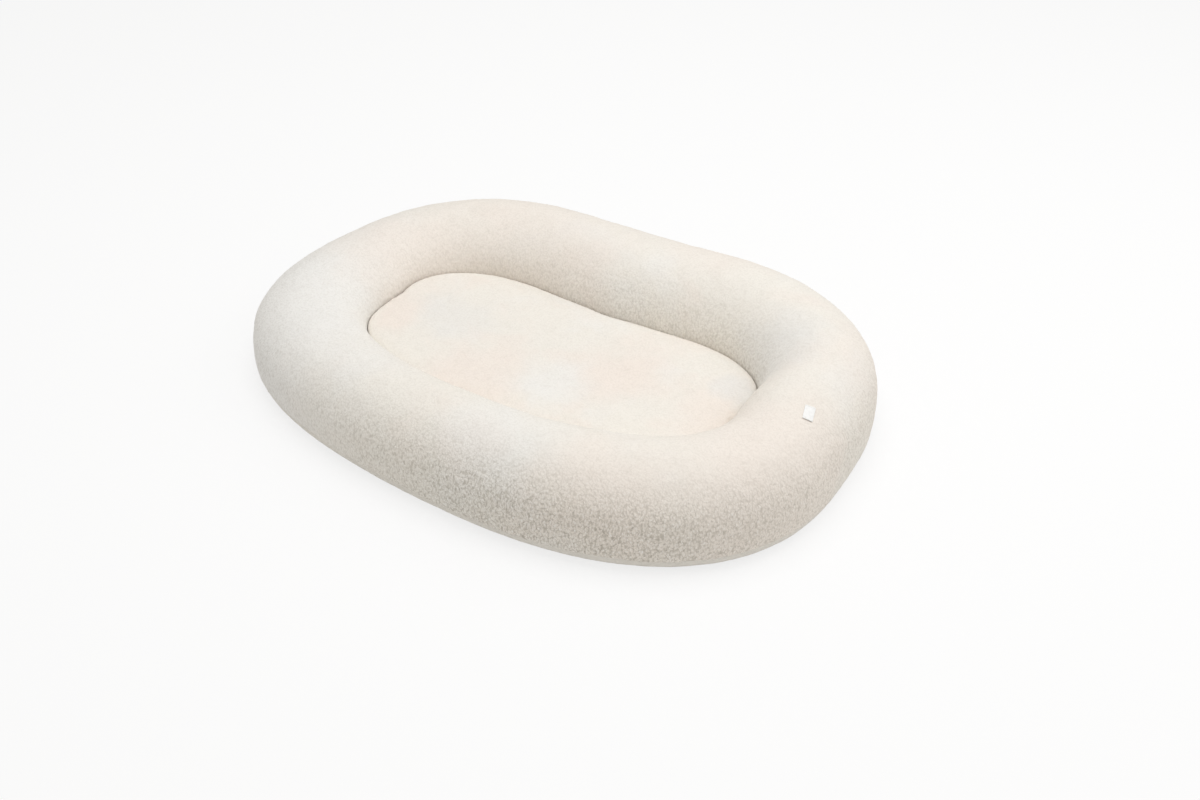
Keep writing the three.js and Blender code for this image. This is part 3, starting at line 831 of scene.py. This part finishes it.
class LOUNGER_OT_bolster(bpy.types.Operator):
    """Build the fleece bolster"""

    bl_idname = "lounger.bolster"
    bl_label = "Fleece Bolster"

    def execute(self, context):
        fleece = context.scene.lounger_fleece
        settings = context.scene.lounger_bolster
        piece = self.skin()
        refine(piece, 2)
        even_grid(piece, fleece.voxel_size)
        push_out(piece, settings.fullness)
        inflate(piece, settings, SEAM_HEIGHT + HELD_BOLSTER_FOOT)
        refine(piece, 1)
        stuffed = points_of(piece)
        roughen(piece, "Broad Dents", BROAD_DENT_SIZE, settings.dent_depth)
        roughen(piece, "Small Dents", SMALL_DENT_SIZE, settings.dent_depth * 0.3)
        self.calm_inside(piece, stuffed)
        for place, reach in DIMPLES:
            press_in(piece, place, reach, settings.press_depth)
        self.tuck_behind_band(piece)
        mark_crease_shade(piece, "cushion_top")
        self.mark_pile_relief_and_shade(piece)
        roughen(piece, "Tufts", fleece.tuft_size, fleece.curl_height * 0.7, "RGB_TO_XYZ")
        self.flatten_foot(piece)
        smooth_shading(piece)
        give_material(piece, fleece_material("Bolster Fleece", fleece, 0.12, 0.16, BOLSTER_SPOTS))
        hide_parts("bolster_cover")
        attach(piece, "nest")
        return {"FINISHED"}

    def skin(self):
        """The outside of the cover and of the band below it, closed under the foot."""
        band = copy_of_node("edge_band", "band_skin")
        piece = copy_of_node("bolster_cover", "bolster_fleece")
        pick(piece)
        band.select_set(True)
        bpy.ops.object.join()
        keep_outside(piece, ("bolster_liner", "bolster_cover", "edge_band", "base_panel"))
        merge_points(piece, 0.0015)
        close_skin(self.bridge_foot)
        return piece

    def bridge_foot(self):
        bpy.ops.mesh.bridge_edge_loops()
        bpy.ops.transform.edge_crease(value=0.7)

    def calm_inside(self, piece, stuffed):
        """Keeps the dents off the wall beside the cushion."""
        share = eased((gap_to(piece, "cushion_top") - CALM_REACH) / CALM_FADE)[:, None]
        set_points(piece, stuffed + (points_of(piece) - stuffed) * share)

    def mark_pile_relief_and_shade(self, piece):
        """Stores how deep the pile's relief, its painted shade and its painted highlights go: deep on the
        outer flank low down, which is in shade, and shallow on the crown, inside and at the left end.
        """
        points = points_of(piece)
        facing = facings_of(piece)[:, :2]
        away = points[:, :2] / np.linalg.norm(points[:, :2], axis=1, keepdims=True)
        outside = eased(0.5 + (facing * away).sum(axis=1))
        low = eased((PILE_RELIEF_AND_SHADE_BELOW - points[:, 2]) / PILE_RELIEF_AND_SHADE_FADE)
        from_left = np.clip((points[:, 0] + 0.36) / 0.4, 0.3, 1.0)
        from_right = np.clip((0.62 - points[:, 0]) / 0.35, 0.5, 1.0)
        store(piece, "open", low * (from_left * from_right) * (0.3 + 0.5 * outside))

    def tuck_behind_band(self, piece):
        """Draws the skin in below the seam, so that the band lies flush with the fleece above it."""
        points = points_of(piece)
        facing = facings_of(piece)[:, :2]
        outside = (facing * points[:, :2]).sum(axis=1) > 0.0
        draw = BAND_TUCK * eased((SEAM_HEIGHT - 0.0005 - points[:, 2]) / 0.003) * outside
        length = np.maximum(np.linalg.norm(facing, axis=1), 1e-6)
        points[:, :2] -= facing / length[:, None] * draw[:, None]
        set_points(piece, points)

    def flatten_foot(self, piece):
        """Rests the foot on the sole, with a shallow hollow over the zip."""
        points = points_of(piece)
        low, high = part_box("zip_tape_right")[0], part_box("zip_tape_left")[1]
        middle = np.array(((low.x + high.x) / 2, (low.y + high.y) / 2))
        reach = np.array(((high.x - low.x) / 2, (high.y - low.y) / 2))
        beyond = np.maximum(np.abs(points[:, :2] - middle) - reach, 0.0).max(axis=1)
        hollow = ZIP_HOLLOW * np.clip(1.5 - beyond / ZIP_HOLLOW_EDGE, 0.0, 1.0)
        points[:, 2] = np.maximum(points[:, 2], SOLE_TOP + FOOT_GAP + hollow)
        set_points(piece, points)


class LOUNGER_OT_edge_band(bpy.types.Operator):
    """Build the smooth band round the foot"""

    bl_idname = "lounger.edge_band"
    bl_label = "Edge Band"

    def execute(self, context):
        trim = context.scene.lounger_trim
        piece = copy_of_node("edge_band", "edge_band_cloth")
        make_quads(piece)
        refine(piece, 3)
        roughen(piece, "Puckers", 0.014, 0.0009)
        smooth_shading(piece)
        give_material(piece, woven_material("Edge Cloth", trim.band_colour, 0.0009))
        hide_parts("edge_band")
        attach(piece, "nest")

        ring = ring_round(tree_of(piece), SEAM_HEIGHT - BAND_STITCH_DROP, trim.stitch_spacing)
        seats = [(place + facing * 0.0001, UP.cross(facing), facing) for place, facing in ring]
        stitches = stitch_line("band_stitches", seats, trim.stitch_length, BAND_STITCH_THICKNESS)
        give_material(stitches, woven_material("Sewing Thread", trim.thread_colour, 0.0003))
        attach(stitches, "nest")
        return {"FINISHED"}


class LOUNGER_OT_cushion(bpy.types.Operator):
    """Build the fleece cushion, its woven underside and its piping"""

    bl_idname = "lounger.cushion"
    bl_label = "Cushion"

    def execute(self, context):
        fleece = context.scene.lounger_fleece
        settings = context.scene.lounger_cushion
        piece = copy_of_node("cushion_top", "cushion_fleece")
        keep_outside(piece, ("cushion_core", "cushion_bottom"))
        close_skin(bpy.ops.mesh.edge_face_add)
        refine(piece, 2)
        even_grid(piece, fleece.voxel_size * 0.8)
        push_out(piece, settings.fullness)
        inflate(piece, settings, CUSHION_SEAM + HELD_CUSHION_FOOT, CUSHION_SIDEWAYS)
        refine(piece, 1)
        self.squeeze_up(piece, settings)
        roughen(piece, "Small Dents", SMALL_DENT_SIZE, 0.0012)
        self.meet_wall(piece, tree_of(bpy.data.objects["bolster_fleece"]))
        mark_crease_shade(piece, "bolster_cover")
        roughen(piece, "Tufts", fleece.tuft_size, fleece.curl_height * 0.3, "RGB_TO_XYZ")
        smooth_shading(piece)
        give_material(piece, fleece_material("Cushion Fleece", fleece, 0.075, 0.14, CUSHION_SPOTS))
        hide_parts("cushion_top")
        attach(piece, "cushion")
        self.underside(context.scene.lounger_trim)
        self.piping(settings, context.scene.lounger_trim)
        return {"FINISHED"}

    def squeeze_up(self, piece, settings):
        """Raises the edge that the ring squeezes, all round but for the middle of the far side."""
        points = points_of(piece)
        slack = eased(1.2 - level_distance(points, SLACK_PLACE) / SLACK_REACH)
        share = above_seam(points, 0.006, 0.016) * (1.0 - 0.9 * slack) * towards_edge(points, 0.2, 0.6)
        corner = eased(1.0 - level_distance(points, CORNER_PLACE) / CORNER_REACH)
        points[:, 2] += settings.edge_rise * share * (1.0 + 1.1 * corner)
        set_points(piece, points)

    def meet_wall(self, piece, ring):
        """Lets the upper side follow the wall of the finished ring, a hair's breadth away from it."""
        own = tree_of(piece)
        shifts = []
        for step in range(360):
            angle = math.radians(step)
            outwards = Vector((math.cos(angle), math.sin(angle), 0.0))
            starts = [Vector((0.0, 0.0, height)) for height in WALL_HEIGHTS]
            widest = max(own.ray_cast(start, outwards)[3] for start in starts)
            nearest = min(ring.ray_cast(start, outwards)[3] for start in starts)
            shifts.append(np.clip(nearest - widest - WALL_GAP, *WALL_SHIFTS))
        smooth = np.convolve(np.pad(shifts, 3, mode="wrap"), np.ones(7) / 7, "valid")
        points = points_of(piece)
        turn = np.degrees(np.arctan2(points[:, 1], points[:, 0])) % 360.0
        shift = np.interp(turn, np.arange(361), np.append(smooth, smooth[0]))
        share = above_seam(points, 0.004, 0.008) * towards_edge(points, 0.5, 0.35)
        away = np.linalg.norm(points[:, :2], axis=1, keepdims=True)
        points[:, :2] *= 1.0 + (shift * share)[:, None] / np.maximum(away, 0.01)
        set_points(piece, points)

    def underside(self, trim):
        piece = copy_of_node("cushion_bottom", "cushion_underside")
        make_quads(piece)
        refine(piece, 2)
        smooth_shading(piece, math.radians(50.0))
        give_material(piece, woven_material("Underside Cloth", trim.band_colour, 0.001, quilt=0.045))
        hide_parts("cushion_bottom")
        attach(piece, "cushion")

    def piping(self, settings, trim):
        """A cord of cloth in the seam between the fleece and the underside."""
        ring = ring_round(tree_of(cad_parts["cushion_bottom"]), CUSHION_SEAM - 0.001, PIPING_SPACING)
        curve = bpy.data.curves.new("cushion_piping", "CURVE")
        curve.dimensions = "3D"
        curve.bevel_depth = settings.piping / 2
        curve.bevel_resolution = 3
        spline = curve.splines.new("POLY")
        spline.points.add(len(ring) - 1)
        spline.use_cyclic_u = True
        for point, (place, facing) in zip(spline.points, ring):
            point.co = (*(place - facing * settings.piping * 0.1), 1.0)
            point.co.z = CUSHION_SEAM - 0.0002
        piece = new_piece("cushion_piping", curve)
        pick(piece)
        bpy.ops.object.convert(target="MESH")
        smooth_shading(piece)
        give_material(piece, woven_material("Piping Cloth", trim.band_colour, 0.0007))
        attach(piece, "cushion")


class LOUNGER_OT_label(bpy.types.Operator):
    """Sew the bare label to the crown"""

    bl_idname = "lounger.label"
    bl_label = "Label"

    def execute(self, context):
        trim = context.scene.lounger_trim
        seat = self.seat()
        rise = self.rise_of_pile(seat, tree_of(bpy.data.objects["bolster_fleece"]), trim)
        bpy.ops.object.select_all(action="DESELECT")
        bpy.ops.mesh.primitive_grid_add(x_subdivisions=36, y_subdivisions=20, size=1.0)
        piece = context.active_object
        piece.name = piece.data.name = "label_patch"
        start_edit(piece)
        bpy.ops.transform.resize(value=(trim.label_length, trim.label_width, 1.0))
        end_edit()
        points = points_of(piece)
        self.round_corners(points, trim)
        to_hem = np.abs(points[:, 0]) - trim.label_length / 2 + LABEL_HEM
        hem = np.clip(to_hem / LABEL_HEM_EDGE, 0.0, 1.0)
        points[:, 2] = rise(points[:, 0], points[:, 1]) + LABEL_RISE + LABEL_HEM_HEIGHT * hem
        set_points(piece, points)
        apply_modifier(piece, "Thickness", "SOLIDIFY", thickness=LABEL_THICKNESS, offset=0.0)
        soften_edge(piece, LABEL_SOFT_EDGE, 2)
        piece.data.transform(seat)
        smooth_shading(piece, math.radians(40.0))
        give_material(piece, woven_material("Label Satin", trim.label_colour, 0.0004, 0.5, 0.3))
        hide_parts("label")
        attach(piece, "nest")
        self.stitches(seat, rise, trim)
        return {"FINISHED"}

    def seat(self):
        """The CAD label's middle and axes: its length, its width and the way that it faces."""
        corners = np.array([vertex.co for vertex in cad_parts["label"].data.vertices])
        middle = (corners.max(axis=0) + corners.min(axis=0)) / 2
        axes = np.linalg.eigh(np.cov((corners - middle).T))[1]
        facing = Vector(axes[:, 0]) * math.copysign(1.0, axes[2, 0])
        along = Vector(axes[:, 2])
        across = facing.cross(along)
        turn = Matrix((along, across, facing)).transposed().to_4x4()
        return Matrix.Translation(Vector(middle)) @ turn

    def rise_of_pile(self, seat, fleece, trim):
        """A smooth rounded surface through the pile under the label, in the label's own axes."""
        facing = seat.to_3x3() @ UP
        rows, heights = [], []
        for along in np.linspace(-0.5, 0.5, 13) * trim.label_length:
            for across in np.linspace(-0.5, 0.5, 9) * trim.label_width:
                place = fleece.ray_cast(seat @ Vector((along, across, 0.02)), -facing)[0]
                if place is None:
                    raise RuntimeError("the label doesn't lie over the bolster")
                rows.append((1.0, along, across, along * along, across * across, along * across))
                heights.append((seat.inverted() @ place).z)
        fit = np.linalg.lstsq(np.array(rows), np.array(heights), rcond=None)[0]

        def rise(x, y):
            return fit[0] + fit[1] * x + fit[2] * y + fit[3] * x * x + fit[4] * y * y + fit[5] * x * y

        return rise

    def round_corners(self, points, trim):
        """Draws the corner points in to a small radius."""
        core = np.array((trim.label_length / 2 - LABEL_CORNER, trim.label_width / 2 - LABEL_CORNER))
        beyond = np.maximum(np.abs(points[:, :2]) - core, 0.0)
        length = np.maximum(np.linalg.norm(beyond, axis=1, keepdims=True), 1e-9)
        reach = beyond.max(axis=1, keepdims=True)
        both = (beyond > 0.0).all(axis=1, keepdims=True)
        drawn = np.sign(points[:, :2]) * (core + beyond / length * reach)
        points[:, :2] = np.where(both, drawn, points[:, :2])

    def stitches(self, seat, rise, trim):
        """A short row of stitches across each end of the label."""
        facing = seat.to_3x3() @ UP
        across = seat.to_3x3() @ Vector((0.0, 1.0, 0.0))
        seats = []
        for side in (-1.0, 1.0):
            along = side * (trim.label_length / 2 - LABEL_STITCH_INSET)
            for beside in np.linspace(-LABEL_STITCH_REACH, LABEL_STITCH_REACH, LABEL_STITCH_COUNT):
                height = rise(along, beside) + LABEL_STITCH_RISE
                seats.append((seat @ Vector((along, beside, height)), across, facing))
        piece = stitch_line("label_stitches", seats, 0.0014, 0.0004)
        give_material(piece, woven_material("Label Thread", trim.thread_colour, 0.0003))
        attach(piece, "nest")


class LOUNGER_OT_cloth_layers(bpy.types.Operator):
    """Finish the sole and the layers inside"""

    bl_idname = "lounger.cloth_layers"
    bl_label = "Sole and Inner Layers"

    def execute(self, context):
        piece = copy_of_node("base_panel", "sole_pad")
        soften_edge(piece, SOLE_SOFT_EDGE, 3, angle_limit=math.radians(60.0))
        smooth_shading(piece, math.radians(35.0))
        give_material(piece, sole_material("Sole Cloth", context.scene.lounger_trim.band_colour))
        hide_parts("base_panel")
        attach(piece, "nest")
        dress_node("bolster_liner", woven_material("Ticking", (0.86, 0.85, 0.82, 1.0), 0.0006))
        dress_node("bolster_filling", fibre_material("Fibre", (0.92, 0.92, 0.91, 1.0), 0.004))
        dress_node("cushion_core", fibre_material("Foam", (0.90, 0.86, 0.70, 1.0), 0.0012))
        return {"FINISHED"}


class LOUNGER_OT_zip(bpy.types.Operator):
    """Finish the zip under the back of the ring"""

    bl_idname = "lounger.zip"
    bl_label = "Zip"

    def execute(self, context):
        tape = woven_material("Zip Tape", (0.85, 0.82, 0.76, 1.0), 0.0005)
        teeth = moulded_material("Moulded Teeth", (0.88, 0.86, 0.81, 1.0), 0.4)
        metal = moulded_material("Cast Metal", (0.72, 0.72, 0.73, 1.0), 0.32, 1.0)
        for side in ("left", "right"):
            dress_node(f"zip_tape_{side}", tape)
            dress_node(f"zip_teeth_{side}", teeth)
            dress_node(f"zip_top_stop_{side}", metal)
        for name in ("zip_bottom_stop", "zip_slider", "zip_pull"):
            dress_node(name, metal)
        return {"FINISHED"}


class LOUNGER_OT_stage(bpy.types.Operator):
    """Build the floor, the lamps and the camera"""

    bl_idname = "lounger.stage"
    bl_label = "Stage"

    def execute(self, context):
        settings = context.scene.lounger_stage
        scene = context.scene
        scene.view_settings.view_transform = "Standard"
        bpy.ops.object.select_all(action="DESELECT")
        bpy.ops.mesh.primitive_plane_add(size=16.0, location=(0.0, 0.0, -0.0004))
        floor = context.active_object
        floor.name = "floor"
        give_material(floor, self.floor_material(settings))
        self.room(scene, settings)
        self.lamp("ceiling", (0.0, 0.1, 2.4), settings.ceiling_power)
        self.lamp("window", (1.5, 0.9, 1.7), settings.window_power)
        self.camera(scene, settings)
        return {"FINISHED"}

    def floor_material(self, settings):
        """Diffuse floor that keeps the shadow, shown to the camera and in reflections as near white."""
        material, tree, shader = new_material("Floor")
        feed(tree, shader, Base_Color=settings.floor_colour, Roughness=1.0, Specular_IOR_Level=0.0)
        white = node(tree, "Emission", Strength=1.0)
        share = times(tree, rays_seen(tree), FLOOR_GLOW)
        blend = node(tree, "MixShader", _0=share, _1=shader.outputs[0], _2=white.outputs[0])
        output = next(found for found in tree.nodes if found.type == "OUTPUT_MATERIAL")
        tree.links.new(blend.outputs[0], output.inputs["Surface"])
        return material

    def room(self, scene, settings):
        """Even light from all round, shown to the camera as white."""
        world = bpy.data.worlds.new("Room")
        world.use_nodes = True
        scene.world = world
        tree = world.node_tree
        tree.nodes.clear()
        warm = (1.0, 0.985, 0.96, 1.0)
        light = node(tree, "Background", Color=warm, Strength=settings.sky_strength)
        white = node(tree, "Background", Color=WHITE, Strength=1.0)
        seen = rays_seen(tree)
        blend = node(tree, "MixShader", _0=seen, _1=light.outputs[0], _2=white.outputs[0])
        node(tree, "OutputWorld", Surface=blend.outputs[0])

    def facing_middle(self, place):
        """The turn of a lamp or camera at a place that looks at the middle of the lounger."""
        return (-Vector(place)).to_track_quat("-Z", "Y").to_euler()

    def lamp(self, name, place, power):
        bpy.ops.object.light_add(type="AREA", location=place)
        lamp = bpy.context.active_object
        lamp.name = name
        lamp.data.shape = "DISK"
        lamp.data.size = LAMP_SIZE
        lamp.data.energy = power
        lamp.rotation_euler = self.facing_middle(place)

    def camera(self, scene, settings):
        level = math.cos(settings.elevation)
        across = math.sin(settings.azimuth) * level
        towards = -math.cos(settings.azimuth) * level
        back = Vector((across, towards, math.sin(settings.elevation)))
        bpy.ops.object.camera_add(location=back * settings.distance)
        camera = bpy.context.active_object
        camera.rotation_euler = self.facing_middle(back)
        camera.data.sensor_width = 36.0
        camera.data.lens = settings.focal_length
        camera.data.shift_x, camera.data.shift_y = settings.shift
        camera.data.clip_start = 0.05
        scene.camera = camera


class LOUNGER_PT_panel(bpy.types.Panel):
    """Lists the lounger's pieces"""

    bl_label = "Infant Lounger"
    bl_idname = "LOUNGER_PT_panel"
    bl_space_type = "VIEW_3D"
    bl_region_type = "UI"
    bl_category = "Lounger"

    def draw(self, context):
        for operator in OPERATORS:
            self.layout.operator(operator.bl_idname)


SETTINGS = {
    "lounger_fleece": FleeceSettings,
    "lounger_bolster": BolsterSettings,
    "lounger_cushion": CushionSettings,
    "lounger_trim": TrimSettings,
    "lounger_stage": StageSettings,
}
OPERATORS = (
    LOUNGER_OT_stage,
    LOUNGER_OT_bolster,
    LOUNGER_OT_edge_band,
    LOUNGER_OT_cushion,
    LOUNGER_OT_label,
    LOUNGER_OT_cloth_layers,
    LOUNGER_OT_zip,
)


def register():
    for made in (*SETTINGS.values(), *OPERATORS, LOUNGER_PT_panel):
        bpy.utils.register_class(made)
    for name, settings in SETTINGS.items():
        setattr(bpy.types.Scene, name, bpy.props.PointerProperty(type=settings))


def unregister():
    for name in SETTINGS:
        delattr(bpy.types.Scene, name)
    for made in reversed((*SETTINGS.values(), *OPERATORS, LOUNGER_PT_panel)):
        bpy.utils.unregister_class(made)


def main():
    register()
    bpy.ops.lounger.stage()
    bpy.ops.lounger.bolster()
    bpy.ops.lounger.edge_band()
    bpy.ops.lounger.cushion()
    bpy.ops.lounger.label()
    bpy.ops.lounger.cloth_layers()
    bpy.ops.lounger.zip()


if __name__ == "__main__":
    main()
